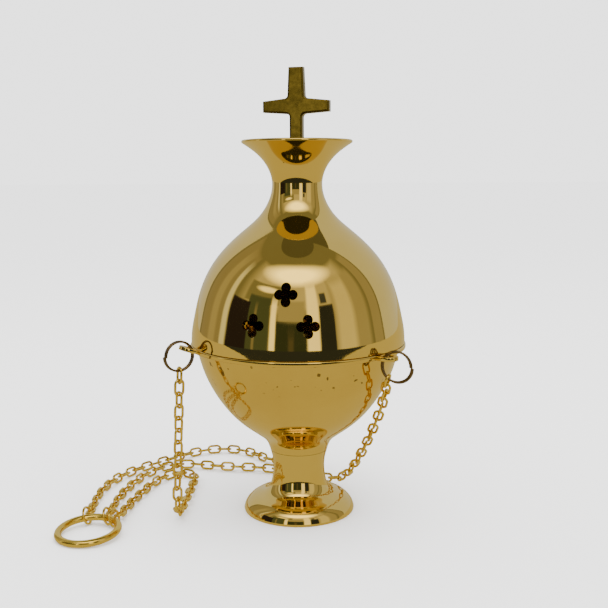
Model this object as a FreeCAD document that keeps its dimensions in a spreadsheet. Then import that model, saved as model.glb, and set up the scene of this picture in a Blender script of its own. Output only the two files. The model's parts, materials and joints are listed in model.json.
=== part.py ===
import FreeCAD, Part
import math
import os
import re

import Sketcher
from FreeCAD import Placement, Rotation, Vector

# A small hanging censer (thurible): a brass bowl on a turned foot, a loose pierced dome
# with a chimney and a cross, and three chains that meet in a hand ring.
# Millimetres. The origin is the centre of the foot's resting plane, +Z is up, and the
# front, -Y, faces away from the single back lug.

DIMENSIONS = [
    # foot: a turned pedestal, open underneath
    ("foot_radius", 21.3, "widest radius of the foot"),
    ("foot_edge_height", 0.8, "height of the widest point"),
    ("foot_rest_radius", 20.7, "outer radius of the resting ring"),
    ("foot_rest_inner", 19.3, "inner radius of the resting ring"),
    ("foot_shoulder_radius", 15.6, "radius where the rounded edge turns into the flare"),
    ("foot_shoulder_height", 6.5, ""),
    ("foot_edge_bend", 7.3, "bend radius of the rounded edge"),
    ("flare_bend", 6.4, "bend radius of the hollow flare"),
    ("flare_top_radius", 10.4, ""),
    ("flare_top_height", 12.0, ""),
    ("waist_bend", 22.2, "bend radius of the waist"),
    ("joint_radius", 11.0, "radius where the bowl sits on the foot"),
    ("joint_height", 24.0, ""),
    ("foot_well_radius", 7.0, "radius of the well under the foot's web"),
    ("foot_web_height", 17.5, "underside of the web that the screw clamps"),
    ("screw_hole_radius", 2.6, ""),
    # bowl
    ("neck_bend", 11.9, "bend radius between the bowl and the foot"),
    ("bowl_base_radius", 15.4, ""),
    ("bowl_base_height", 30.3, ""),
    ("belly_radius", 23.8, "radius where the straight lower wall meets the belly"),
    ("belly_height", 36.9, ""),
    ("belly_bend", 51.5, "bend radius of the belly"),
    ("bowl_top_radius", 38.3, "outer radius just under the flange"),
    ("flange_under", 64.1, "underside of the flange"),
    ("flange_top", 65.9, "top of the flange"),
    ("flange_radius", 40.7, ""),
    ("flange_round", 0.5, "rounding of the flange's edge"),
    ("bowl_wall", 1.3, ""),
    ("floor_radius", 14.4, "flat floor inside the bowl"),
    ("floor_height", 31.5, ""),
    # lugs on the flange
    ("lug_root", 40.0, "distance of each lug's root from the axis"),
    ("lug_height", 65.1, "height of the middle of the lug's root"),
    ("lug_thickness", 1.5, ""),
    ("lug_half_width", 3.3, ""),
    ("lug_inset", 0.9, "how far the lug runs into the flange"),
    ("lug_reach", 3.2, "from the lug's root to its hole"),
    ("lug_nose", 1.3, "from the hole to the start of the rounded nose"),
    ("lug_end_bend", 3.4, "bend radius of the nose"),
    ("lug_hole_radius", 2.1, ""),
    # lid dome
    ("lid_edge_height", 66.15, "bottom edge of the dome, just off the flange"),
    ("lid_edge_radius", 40.3, ""),
    ("lid_wall", 1.25, ""),
    ("dome_low_bend", 56.7, ""),
    ("dome_mid_radius", 33.2, ""),
    ("dome_mid_height", 93.3, ""),
    ("dome_high_bend", 46.0, ""),
    ("dome_top_radius", 19.6, "where the dome turns into the hollow shoulder"),
    ("dome_top_height", 108.5, ""),
    ("shoulder_bend", 27.6, ""),
    ("chimney_foot_radius", 11.4, ""),
    ("chimney_foot_height", 117.7, ""),
    # smoke holes
    ("lobe_radius", 1.68, "radius of each lobe of a four-lobed hole"),
    ("lobe_corner", 1.35, "where two lobes meet"),
    ("upper_hole_height", 88.2, ""),
    ("lower_hole_height", 77.7, ""),
    ("hole_depth", 44.0, "how far each hole is cut outwards from the axis"),
    # chimney
    ("throat_radius", 9.25, "narrowest outer radius"),
    ("throat_height", 124.6, ""),
    ("throat_low_bend", 18.4, ""),
    ("throat_high_bend", 11.0, ""),
    ("funnel_foot_radius", 10.4, ""),
    ("funnel_foot_height", 129.5, ""),
    ("funnel_bend", 24.8, ""),
    ("mouth_radius", 20.3, ""),
    ("mouth_height", 140.1, ""),
    ("mouth_lip", 0.5, ""),
    ("chimney_wall", 1.1, ""),
    # ring soldered inside the lid, which centres it in the bowl
    ("spigot_radius", 35.8, ""),
    ("spigot_wall", 1.0, ""),
    ("spigot_bottom", 62.8, ""),
    ("spigot_flange_radius", 38.9, ""),
    ("spigot_flange_thickness", 1.0, ""),
    ("seat_gap", 0.02, ""),
    # plate across the chimney's throat that carries the cross
    ("plate_radius", 8.1, ""),
    ("plate_bottom", 122.8, ""),
    ("plate_thickness", 2.0, ""),
    ("smoke_slot_radius", 1.7, ""),
    ("smoke_slot_circle", 5.4, ""),
    # cross
    ("cross_top", 167.4, ""),
    ("cross_top_half", 2.7, "half width at the top"),
    ("cross_arm_half", 3.2, "half width where the upper arm meets the bar"),
    ("bar_top", 156.3, "top of the bar at the middle"),
    ("bar_bottom", 150.6, ""),
    ("bar_half", 12.5, "half length of the bar"),
    ("bar_end_top", 155.3, ""),
    ("bar_end_bottom", 151.3, ""),
    ("cross_stem_half", 2.4, ""),
    ("cross_thickness", 4.0, ""),
    ("cross_round", 0.7, "rounding of the cross's long edges"),
    ("cross_fillet", 1.3, "fillets in the four corners"),
    ("rod_radius", 1.95, "threaded end below the plate"),
    ("rod_bottom", 118.4, ""),
    ("rod_hole_radius", 2.05, ""),
    ("cross_nut_half", 3.5, "half of the nut's width across its flats"),
    ("cross_nut_height", 3.2, ""),
    # screw that holds the bowl on the foot
    ("screw_radius", 2.45, ""),
    ("screw_head_radius", 4.5, ""),
    ("screw_head_height", 3.0, ""),
    ("screw_top", 36.4, ""),
    ("slot_width", 1.2, ""),
    ("slot_depth", 1.3, ""),
    ("washer_radius", 5.5, ""),
    ("washer_thickness", 1.0, ""),
    ("foot_nut_half", 4.0, ""),
    ("foot_nut_height", 3.6, ""),
    # charcoal cup, a loose pan inside the bowl
    ("cup_bottom", 36.42, "the cup rests on the screw's end"),
    ("cup_base_radius", 18.6, ""),
    ("cup_wall", 0.9, ""),
    ("cup_bend", 60.0, "bend radius of the cup's side"),
    ("cup_rim_radius", 27.0, ""),
    ("cup_mouth_radius", 25.2, ""),
    ("cup_top", 56.0, ""),
    # split rings through the lugs: two turns of spring wire
    ("split_mean_radius", 5.35, ""),
    ("split_wire_radius", 0.4, ""),
    ("split_pitch", 0.86, ""),
    # chain links
    ("link_length", 6.7, "outer length"),
    ("link_width", 4.1, "outer width"),
    ("link_wire_radius", 0.49, ""),
    ("link_pitch", 4.6, ""),
    # end loops and hand ring
    ("loop_mean_radius", 3.05, ""),
    ("loop_wire_radius", 0.45, ""),
    ("loop_lean", 15.0, "degrees that each loop leans over"),
    ("loop_shift", 0.8, "from the hand ring's wire to the loop's centre"),
    ("hand_mean_radius", 10.7, ""),
    ("hand_wire_radius", 1.3, ""),
    ("hand_tilt", 4.65, "degrees that the loops under it lift the ring"),
]

# Bearings are degrees anticlockwise from +X, seen from above.
# Each split ring is at "across" and "down" from its lug's hole, in the plane at its bearing.
LUGS = {
    "left": {"bearing": -152.0, "tilt": 18.0, "plane": -144.0, "across": 4.0, "down": 1.9},
    "right": {"bearing": -40.0, "tilt": 0.0, "plane": -21.5, "across": 3.3, "down": 2.9},
    "back": {"bearing": 90.0, "tilt": 0.0, "plane": 88.0, "across": 3.2, "down": 3.9},
}

# Where each end loop holds the hand ring, and the bearing that the loop points along.
HAND_RING_CENTRE = Vector(-74.0, -32.4, 2.19)
HAND_TILT_AXIS = -25.5
LOOPS = {
    "left": {"on_ring": 50.0, "points": 72.0},
    "right": {"on_ring": 68.0, "points": 84.0},
    "back": {"on_ring": 110.0, "points": 85.0},
}

# Each chain's route runs from its split ring, down to the table and on to its end loop.
CHAIN_ROUTES = {
    "left": [
        (-41.33, -22.4, 59.4), (-42.1, -22.6, 38.5), (-43.3, -20.9, 19.0), (-44.0, -19.6, 7.2),
        (-44.4, -15.0, 2.2), (-44.6, -6.5, 2.1), (-44.7, 3.0, 2.1), (-45.0, 12.5, 2.1),
        (-45.5, 21.5, 2.1), (-46.0, 29.8, 2.1), (-50.9, 33.2, 2.1), (-56.7, 31.7, 2.1),
        (-61.2, 22.9, 2.1), (-63.6, 11.0, 2.1), (-65.2, -1.0, 2.1), (-65.8, -12.5, 2.35),
        (-65.94, -21.0, 3.47),
    ],
    "right": [
        (33.28, -28.4, 58.42), (31.9, -16.6, 45.9), (29.0, -6.2, 34.8), (25.6, 4.0, 23.6),
        (21.6, 13.8, 13.2), (17.3, 22.5, 4.9), (11.4, 27.8, 2.2), (3.0, 32.0, 2.1),
        (-7.0, 36.9, 2.1), (-17.5, 41.2, 2.1), (-29.0, 41.6, 2.1), (-40.5, 42.6, 2.1),
        (-51.0, 45.4, 2.1), (-59.5, 43.0, 2.1), (-65.8, 35.2, 2.1), (-69.4, 24.0, 2.1),
        (-71.2, 11.5, 2.1), (-71.9, -1.0, 2.1), (-71.0, -11.5, 2.35), (-69.51, -19.11, 3.47),
    ],
    "back": [
        (0.29, 46.4, 56.4), (0.1, 46.7, 38.0), (-0.2, 47.2, 20.5), (-1.2, 47.9, 8.0),
        (-5.4, 49.0, 2.25), (-12.5, 50.6, 2.1), (-19.4, 54.6, 2.1), (-24.6, 61.8, 2.1),
        (-32.8, 67.4, 2.1), (-43.8, 67.6, 2.1), (-53.2, 61.9, 2.1), (-60.4, 52.6, 2.1),
        (-68.0, 43.4, 2.1), (-75.2, 33.4, 2.1), (-79.8, 21.6, 2.1), (-81.0, 8.6, 2.1),
        (-80.2, -3.6, 2.1), (-78.6, -12.4, 2.35), (-77.26, -18.96, 3.47),
    ],
}

SMOKE_HOLES = {"upper": ("upper_hole_height", -2.7), "lower_left": ("lower_hole_height", -19.6),
               "lower_right": ("lower_hole_height", 8.9)}
CROSS_TURN = -10.0


def start_sheet(doc):
    """Write the driving dimensions into the spreadsheet, one row each."""
    sheet = doc.addObject("Spreadsheet::Sheet", "dims")
    for row, (alias, value, meaning) in enumerate(DIMENSIONS, start=1):
        sheet.set("A%d" % row, alias)
        sheet.set("B%d" % row, str(value))
        sheet.set("C%d" % row, meaning)
        sheet.setAlias("B%d" % row, alias)
    doc.recompute()
    return sheet


doc = FreeCAD.newDocument("thurible")
sheet = start_sheet(doc)


def bound(expression):
    """Turn a formula of aliases into one that other objects can read."""
    return re.sub(r"([a-z][a-z_]*)", r"dims.\1", expression)


def number(expression):
    """The present value of a formula of aliases."""
    return float(sheet.evalExpression(bound(expression)))


def place_at(bearing):
    """Unit vector along a bearing."""
    angle = math.radians(bearing)
    return Vector(math.cos(angle), math.sin(angle), 0)


# ---- sketches ----

def new_sketch(body, name, plane_role, offset=None):
    """A sketch on one of the body's own origin planes, moved by offset within it."""
    sketch = body.newObject("Sketcher::SketchObject", name)
    plane = next(item for item in body.Origin.OriginFeatures if item.Role == plane_role)
    sketch.AttachmentSupport = [(plane, "")]
    sketch.MapMode = "FlatFace"
    if offset is not None:
        sketch.AttachmentOffset = offset
    return sketch


def bind(sketch, constraint, expression):
    """Add a constraint and drive it from the sheet."""
    index = sketch.addConstraint(constraint)
    sketch.setExpression("Constraints[%d]" % index, bound(expression))


def pin_point(sketch, geometry, end, across, up):
    """Hold a point at the two formulas; zero is held by the axis itself."""
    if across == "0":
        sketch.addConstraint(Sketcher.Constraint("PointOnObject", geometry, end, -2))
    else:
        bind(sketch, Sketcher.Constraint("DistanceX", -1, 1, geometry, end, number(across)), across)
    if up == "0":
        sketch.addConstraint(Sketcher.Constraint("PointOnObject", geometry, end, -1))
    else:
        bind(sketch, Sketcher.Constraint("DistanceY", -1, 1, geometry, end, number(up)), up)


def arc_between(start, finish, radius, turn):
    """An arc that turns left or right from start to finish; "left, long way" is over half a circle."""
    chord = finish - start
    rise = math.sqrt(radius ** 2 - (chord.Length / 2) ** 2)
    left = Vector(-chord.y, chord.x, 0).normalize()
    centre = (start + finish) * 0.5 + left * (rise if turn == "left" else -rise)
    first, last = (finish, start) if turn == "right" else (start, finish)
    low = math.atan2(first.y - centre.y, first.x - centre.x)
    high = math.atan2(last.y - centre.y, last.x - centre.x)
    if high < low:
        high += 2 * math.pi
    return Part.ArcOfCircle(Part.Circle(centre, Vector(0, 0, 1), radius), low, high)


def trace(sketch, corners):
    """Draw a closed outline. A corner is (across, up, bend), and bend, if it isn't None,
    is the (radius, turn) of the arc that leads to the next corner."""
    places = [Vector(number(across), number(up), 0) for across, up, bend in corners]
    pieces = []
    for index, (across, up, bend) in enumerate(corners):
        start = places[index]
        finish = places[(index + 1) % len(corners)]
        if bend is None:
            geometry = sketch.addGeometry(Part.LineSegment(start, finish), False)
            pieces.append((geometry, 1, 2))
            continue
        radius, turn = bend
        geometry = sketch.addGeometry(arc_between(start, finish, number(radius), turn), False)
        pieces.append((geometry, 2, 1) if turn == "right" else (geometry, 1, 2))
    for index, (geometry, first, last) in enumerate(pieces):
        following = pieces[(index + 1) % len(pieces)]
        sketch.addConstraint(Sketcher.Constraint("Coincident", geometry, last, following[0], following[1]))
    for (geometry, first, last), (across, up, bend) in zip(pieces, corners):
        pin_point(sketch, geometry, first, across, up)
        if bend is not None:
            bind(sketch, Sketcher.Constraint("Radius", geometry, number(bend[0])), bend[0])


def circle(sketch, across, up, radius):
    """A full circle at the two formulas."""
    centre = Vector(number(across), number(up), 0)
    geometry = sketch.addGeometry(Part.Circle(centre, Vector(0, 0, 1), number(radius)), False)
    pin_point(sketch, geometry, 3, across, up)
    bind(sketch, Sketcher.Constraint("Radius", geometry, number(radius)), radius)


# ---- features ----

def new_body(label):
    """One sub-part; its label names its file."""
    body = doc.addObject("PartDesign::Body", label)
    body.Label = label
    return body


def revolve(body, corners):
    """Turn an outline of radius and height about the vertical axis."""
    sketch = new_sketch(body, body.Name + "_profile", "XZ_Plane")
    trace(sketch, corners)
    turned = body.newObject("PartDesign::Revolution", body.Name + "_turned")
    turned.Profile = sketch
    turned.ReferenceAxis = (sketch, ["V_Axis"])
    turned.Angle = 360
    return turned


def pad(body, sketch, length, centred=False):
    """Pad a sketch by a formula."""
    feature = body.newObject("PartDesign::Pad", sketch.Name + "_pad")
    feature.Profile = sketch
    feature.setExpression("Length", bound(length))
    if centred:
        feature.SideType = "Symmetric"
    return feature


def pocket(body, sketch, length, reverse=False):
    """Cut a sketch to a depth given by a formula, and make sure that it cuts something."""
    doc.recompute()
    before = body.Shape.Volume
    feature = body.newObject("PartDesign::Pocket", sketch.Name + "_cut")
    feature.Profile = sketch
    feature.setExpression("Length", bound(length))
    feature.Reversed = reverse
    doc.recompute()
    if body.Shape.Volume > before - 0.1:
        raise RuntimeError(feature.Name + " cuts nothing")
    return feature


def repeat_around(body, features, count):
    """Repeat features evenly about the vertical axis."""
    pattern = body.newObject("PartDesign::PolarPattern", body.Name + "_pattern")
    pattern.Originals = features
    axis = next(item for item in body.Origin.OriginFeatures if item.Role == "Z_Axis")
    pattern.Axis = (axis, [""])
    pattern.Angle = 360
    pattern.Occurrences = count
    body.Tip = pattern
    return pattern


def hexagon_nut(label, half_flats, hole, bottom, height):
    """A plain hexagon nut on the axis."""
    nut = doc.addObject("Part::Prism", label + "_blank")
    nut.Polygon = 6
    nut.setExpression("Circumradius", bound(half_flats) + " / cos(30)")
    nut.setExpression("Height", bound(height))
    bore = doc.addObject("Part::Cylinder", label + "_bore")
    bore.setExpression("Radius", bound(hole))
    bore.setExpression("Height", bound(height))
    cut = doc.addObject("Part::Cut", label)
    cut.Base = nut
    cut.Tool = bore
    cut.Label = label
    cut.setExpression("Placement.Base.z", bound(bottom))
    return cut


# ---- the bowl and its foot ----

def make_foot():
    body = new_body("foot")
    revolve(body, [
        ("screw_hole_radius", "joint_height", None),
        ("screw_hole_radius", "foot_web_height", None),
        ("foot_well_radius", "foot_web_height", None),
        ("foot_well_radius", "flare_top_height - 0.5", None),
        ("foot_well_radius + 1.4", "foot_shoulder_height + 1.0", None),
        ("foot_shoulder_radius - 2.0", "foot_shoulder_height - 2.0", None),
        ("foot_rest_inner - 0.6", "foot_edge_height + 1.4", None),
        ("foot_rest_inner", "0", None),
        ("foot_rest_radius", "0", None),
        ("foot_radius", "foot_edge_height", ("foot_edge_bend", "left")),
        ("foot_shoulder_radius", "foot_shoulder_height", ("flare_bend", "right")),
        ("flare_top_radius", "flare_top_height", ("waist_bend", "right")),
        ("joint_radius", "joint_height", None),
    ])
    return body


def add_lug(body, side, spec):
    """A flat tongue with a hole, leaning up or down a little from the flange."""
    turn = Rotation(Vector(0, 0, 1), spec["bearing"]).multiply(Rotation(Vector(0, 1, 0), -spec["tilt"]))
    root = place_at(spec["bearing"]) * number("lug_root")
    root.z = number("lug_height")
    sketch = new_sketch(body, "lug_" + side, "XY_Plane", Placement(root, turn))
    straight_end = "lug_reach + lug_nose"
    trace(sketch, [
        ("0 - lug_inset", "0 - lug_half_width", None),
        (straight_end, "0 - lug_half_width", ("lug_end_bend", "left")),
        (straight_end, "lug_half_width", None),
        ("0 - lug_inset", "lug_half_width", None),
    ])
    circle(sketch, "lug_reach", "0", "lug_hole_radius")
    pad(body, sketch, "lug_thickness", centred=True)


def make_bowl():
    body = new_body("bowl")
    revolve(body, [
        ("screw_hole_radius", "joint_height", None),
        ("joint_radius", "joint_height", ("neck_bend", "right")),
        ("bowl_base_radius", "bowl_base_height", None),
        ("belly_radius", "belly_height", ("belly_bend", "left")),
        ("bowl_top_radius", "flange_under", None),
        ("flange_radius - flange_round", "flange_under", ("flange_round", "left")),
        ("flange_radius", "flange_under + flange_round", None),
        ("flange_radius", "flange_top - flange_round", ("flange_round", "left")),
        ("flange_radius - flange_round", "flange_top", None),
        ("bowl_top_radius - bowl_wall + 0.2", "flange_top", None),
        ("bowl_top_radius - bowl_wall", "flange_under", ("belly_bend - bowl_wall", "right")),
        ("belly_radius - bowl_wall * 0.7", "belly_height + bowl_wall * 0.7", None),
        ("floor_radius", "floor_height", None),
        ("screw_hole_radius", "floor_height", None),
    ])
    for side, spec in LUGS.items():
        add_lug(body, side, spec)
    return body


def make_foot_fixings():
    body = new_body("foot_screw")
    revolve(body, [
        ("0", "foot_web_height - screw_head_height", None),
        ("screw_head_radius - 0.6", "foot_web_height - screw_head_height", None),
        ("screw_head_radius", "foot_web_height - screw_head_height + 0.8", None),
        ("screw_head_radius", "foot_web_height", None),
        ("screw_radius", "foot_web_height", None),
        ("screw_radius", "screw_top - 0.4", None),
        ("screw_radius - 0.4", "screw_top", None),
        ("0", "screw_top", None),
    ])
    slot = new_sketch(body, "screw_slot", "XY_Plane",
                      Placement(Vector(0, 0, number("foot_web_height - screw_head_height")), Rotation()))
    trace(slot, [
        ("0 - screw_head_radius", "0 - slot_width / 2", None),
        ("screw_head_radius", "0 - slot_width / 2", None),
        ("screw_head_radius", "slot_width / 2", None),
        ("0 - screw_head_radius", "slot_width / 2", None),
    ])
    pocket(body, slot, "slot_depth", reverse=True)
    washer = new_body("foot_washer")
    revolve(washer, [
        ("screw_hole_radius", "floor_height", None),
        ("washer_radius", "floor_height", None),
        ("washer_radius", "floor_height + washer_thickness", None),
        ("screw_hole_radius", "floor_height + washer_thickness", None),
    ])
    nut = hexagon_nut("foot_nut", "foot_nut_half", "screw_radius", "floor_height + washer_thickness",
                      "foot_nut_height")
    return [body, washer, nut]


def make_charcoal_cup():
    body = new_body("charcoal_cup")
    revolve(body, [
        ("0", "cup_bottom", None),
        ("cup_base_radius - 1.2", "cup_bottom", None),
        ("cup_base_radius", "cup_bottom + 0.8", ("cup_bend", "left")),
        ("cup_mouth_radius", "cup_top - 0.9", None),
        ("cup_rim_radius", "cup_top - 0.9", None),
        ("cup_rim_radius", "cup_top", None),
        ("cup_mouth_radius - cup_wall", "cup_top", ("cup_bend - cup_wall", "right")),
        ("cup_base_radius - cup_wall", "cup_bottom + 1.2", None),
        ("cup_base_radius - 1.6", "cup_bottom + cup_wall", None),
        ("0", "cup_bottom + cup_wall", None),
    ])
    return body


# ---- the lid ----

def add_smoke_hole(body, name, height, turn):
    """A four-lobed hole, cut outwards from the axis on the front."""
    sketch = new_sketch(body, "smoke_hole_" + name, "XZ_Plane",
                        Placement(Vector(0, 0, 0), Rotation(Vector(0, 1, 0), turn)))
    trace(sketch, [
        ("lobe_corner", height + " - lobe_corner", ("lobe_radius", "left, long way")),
        ("lobe_corner", height + " + lobe_corner", ("lobe_radius", "left, long way")),
        ("0 - lobe_corner", height + " + lobe_corner", ("lobe_radius", "left, long way")),
        ("0 - lobe_corner", height + " - lobe_corner", ("lobe_radius", "left, long way")),
    ])
    return pocket(body, sketch, "hole_depth", reverse=True)


def make_lid_dome():
    body = new_body("lid_dome")
    revolve(body, [
        ("lid_edge_radius - lid_wall", "lid_edge_height", None),
        ("lid_edge_radius", "lid_edge_height", ("dome_low_bend", "left")),
        ("dome_mid_radius", "dome_mid_height", ("dome_high_bend", "left")),
        ("dome_top_radius", "dome_top_height", ("shoulder_bend", "right")),
        ("chimney_foot_radius", "chimney_foot_height", None),
        ("chimney_foot_radius - chimney_wall", "chimney_foot_height", ("shoulder_bend + lid_wall", "left")),
        ("dome_top_radius - lid_wall * 0.82", "dome_top_height - lid_wall * 0.58",
         ("dome_high_bend - lid_wall", "right")),
        ("dome_mid_radius - lid_wall * 0.87", "dome_mid_height - lid_wall * 0.48",
         ("dome_low_bend - lid_wall", "right")),
    ])
    holes = [add_smoke_hole(body, name, height, turn) for name, (height, turn) in SMOKE_HOLES.items()]
    repeat_around(body, holes, 3)
    return body


def make_lid_chimney():
    body = new_body("lid_chimney")
    revolve(body, [
        ("chimney_foot_radius", "chimney_foot_height", ("throat_low_bend", "right")),
        ("throat_radius", "throat_height", ("throat_high_bend", "right")),
        ("funnel_foot_radius", "funnel_foot_height", ("funnel_bend", "right")),
        ("mouth_radius", "mouth_height", None),
        ("mouth_radius - 0.2", "mouth_height + mouth_lip", None),
        ("mouth_radius - 0.8", "mouth_height + mouth_lip", ("funnel_bend + chimney_wall", "left")),
        ("funnel_foot_radius - chimney_wall * 0.9", "funnel_foot_height + chimney_wall * 0.44",
         ("throat_high_bend + chimney_wall", "left")),
        ("throat_radius - chimney_wall", "throat_height", ("throat_low_bend + chimney_wall", "left")),
        ("chimney_foot_radius - chimney_wall", "chimney_foot_height", None),
    ])
    return body


def make_lid_locating_ring():
    body = new_body("lid_locating_ring")
    underside = "flange_top + seat_gap"
    revolve(body, [
        ("spigot_radius - spigot_wall", "spigot_bottom", None),
        ("spigot_radius", "spigot_bottom", None),
        ("spigot_radius", underside, None),
        ("spigot_flange_radius", underside, None),
        ("spigot_flange_radius", underside + " + spigot_flange_thickness", None),
        ("spigot_radius - spigot_wall", underside + " + spigot_flange_thickness", None),
    ])
    return body


def make_smoke_plate():
    body = new_body("smoke_plate")
    sketch = new_sketch(body, "plate_outline", "XY_Plane",
                        Placement(Vector(0, 0, number("plate_bottom")), Rotation()))
    circle(sketch, "0", "0", "plate_radius")
    circle(sketch, "0", "0", "rod_hole_radius")
    pad(body, sketch, "plate_thickness")
    slot = new_sketch(body, "plate_slot", "XY_Plane",
                      Placement(Vector(0, 0, number("plate_bottom + plate_thickness")), Rotation()))
    circle(slot, "smoke_slot_circle", "0", "smoke_slot_radius")
    cut = pocket(body, slot, "plate_thickness + 1")
    repeat_around(body, [cut], 5)
    return body


def make_cross():
    """A cast Latin cross whose rod is threaded below the smoke plate."""
    body = new_body("cross")
    sketch = new_sketch(body, "cross_outline", "XZ_Plane")
    stem_bottom = "plate_bottom + plate_thickness"
    trace(sketch, [
        ("cross_stem_half", stem_bottom, None),
        ("cross_stem_half", "bar_bottom", None),
        ("bar_half", "bar_end_bottom", None),
        ("bar_half", "bar_end_top", None),
        ("cross_arm_half", "bar_top", None),
        ("cross_top_half", "cross_top", None),
        ("0 - cross_top_half", "cross_top", None),
        ("0 - cross_arm_half", "bar_top", None),
        ("0 - bar_half", "bar_end_top", None),
        ("0 - bar_half", "bar_end_bottom", None),
        ("0 - cross_stem_half", "bar_bottom", None),
        ("0 - cross_stem_half", stem_bottom, None),
    ])
    cast = pad(body, sketch, "cross_thickness", centred=True)
    doc.recompute()
    inner_corners = []
    for index, edge in enumerate(cast.Shape.Edges, start=1):
        middle = edge.CenterOfMass
        along_y = abs(edge.tangentAt(edge.FirstParameter).y) > 0.99
        if along_y and abs(middle.x) < number("cross_arm_half + 0.1") \
                and number("bar_bottom - 0.1") < middle.z < number("bar_top + 0.1"):
            inner_corners.append("Edge%d" % index)
    corners = body.newObject("PartDesign::Fillet", "cross_corners")
    corners.Base = (cast, inner_corners)
    corners.setExpression("Radius", bound("cross_fillet"))
    doc.recompute()
    long_edges = []
    for index, edge in enumerate(corners.Shape.Edges, start=1):
        on_face = abs(abs(edge.CenterOfMass.y) - number("cross_thickness / 2")) < 0.01
        if on_face and edge.CenterOfMass.z > number(stem_bottom + " + 0.1"):
            long_edges.append("Edge%d" % index)
    rounded = body.newObject("PartDesign::Fillet", "cross_edges")
    rounded.Base = (corners, long_edges)
    rounded.setExpression("Radius", bound("cross_round"))
    rod = new_sketch(body, "rod_outline", "XY_Plane",
                     Placement(Vector(0, 0, number("rod_bottom")), Rotation()))
    circle(rod, "0", "0", "rod_radius")
    pad(body, rod, stem_bottom + " - rod_bottom + 1")
    spin = Rotation(Vector(0, 0, 1), CROSS_TURN)
    body.Placement = Placement(Vector(0, 0, 0), spin)
    return body


# ---- split rings, chains, end loops and the hand ring ----

def lug_hole(spec):
    """Centre of a lug's hole."""
    reach = number("lug_reach")
    tilt = math.radians(spec["tilt"])
    centre = place_at(spec["bearing"]) * (number("lug_root") + reach * math.cos(tilt))
    centre.z = number("lug_height") + reach * math.sin(tilt)
    return centre


def ring_centre(spec):
    """Centre of the split ring that hangs from a lug."""
    return lug_hole(spec) + place_at(spec["plane"]) * spec["across"] - Vector(0, 0, spec["down"])


def make_split_ring(side, spec):
    """Two close turns of round wire, hanging through the lug's hole."""
    label = "split_ring_" + side
    coil = doc.addObject("Part::Helix", label + "_coil")
    coil.setExpression("Pitch", bound("split_pitch"))
    coil.setExpression("Height", bound("split_pitch") + " * 2")
    coil.setExpression("Radius", bound("split_mean_radius"))
    wire = doc.addObject("Part::Circle", label + "_wire")
    wire.setExpression("Radius", bound("split_wire_radius"))
    wire.Placement = Placement(Vector(number("split_mean_radius"), 0, 0), Rotation(Vector(1, 0, 0), 90))
    ring = doc.addObject("Part::Sweep", label)
    ring.Sections = [wire]
    ring.Spine = (coil, ["Edge1"])
    ring.Solid = True
    ring.Frenet = True
    ring.Label = label
    across = place_at(spec["plane"])
    axis = across.cross(Vector(0, 0, 1))
    turn = Rotation(across, Vector(0, 0, 1), axis, "ZXY")
    middle = turn.multVec(Vector(0, 0, number("split_pitch")))
    doc.recompute()
    ring.Placement = Placement(ring_centre(spec) - middle, turn)
    return ring


def route_path(points):
    """Straight runs joined by arcs as large as the runs allow; prints the smallest radius."""
    corners = [Vector(*point) for point in points]
    runs = [(after - before).Length for before, after in zip(corners, corners[1:])]
    edges = []
    radii = []
    here = corners[0]
    for index in range(1, len(corners) - 1):
        before, corner, after = corners[index - 1:index + 2]
        inward = (before - corner).normalize()
        outward = (after - corner).normalize()
        turn = math.pi - inward.getAngle(outward)
        setback = 0.45 * min(runs[index - 1], runs[index])
        radius = setback / math.tan(turn / 2)
        start = corner + inward * setback
        finish = corner + outward * setback
        to_centre = (inward + outward).normalize()
        middle = corner + to_centre * (radius / math.cos(turn / 2) - radius)
        edges.append(Part.LineSegment(here, start).toShape())
        edges.append(Part.Arc(start, middle, finish).toShape())
        radii.append(radius)
        here = finish
    edges.append(Part.LineSegment(here, corners[-1]).toShape())
    return Part.Wire(edges), radii


def link_shape():
    """One chain link: round wire bent into a long oval, lying along X, open towards Z."""
    wire_radius = number("link_wire_radius")
    bend = number("link_width / 2 - link_wire_radius")
    half = number("link_length / 2 - link_width / 2")
    top = Part.LineSegment(Vector(-half, bend, 0), Vector(half, bend, 0)).toShape()
    nose = Part.Arc(Vector(half, bend, 0), Vector(half + bend, 0, 0), Vector(half, -bend, 0)).toShape()
    bottom = Part.LineSegment(Vector(half, -bend, 0), Vector(-half, -bend, 0)).toShape()
    tail = Part.Arc(Vector(-half, -bend, 0), Vector(-half - bend, 0, 0), Vector(-half, bend, 0)).toShape()
    section = Part.Wire(Part.Circle(Vector(0, bend, 0), Vector(1, 0, 0), wire_radius).toShape())
    oval = Part.Wire([top, nose, bottom, tail])
    return oval.makePipeShell([section], True, True)


def turn_between(along, before, after):
    """Signed angle in degrees from one direction to another about a third."""
    return math.degrees(math.atan2(along.dot(before.cross(after)), before.dot(after)))


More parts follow.
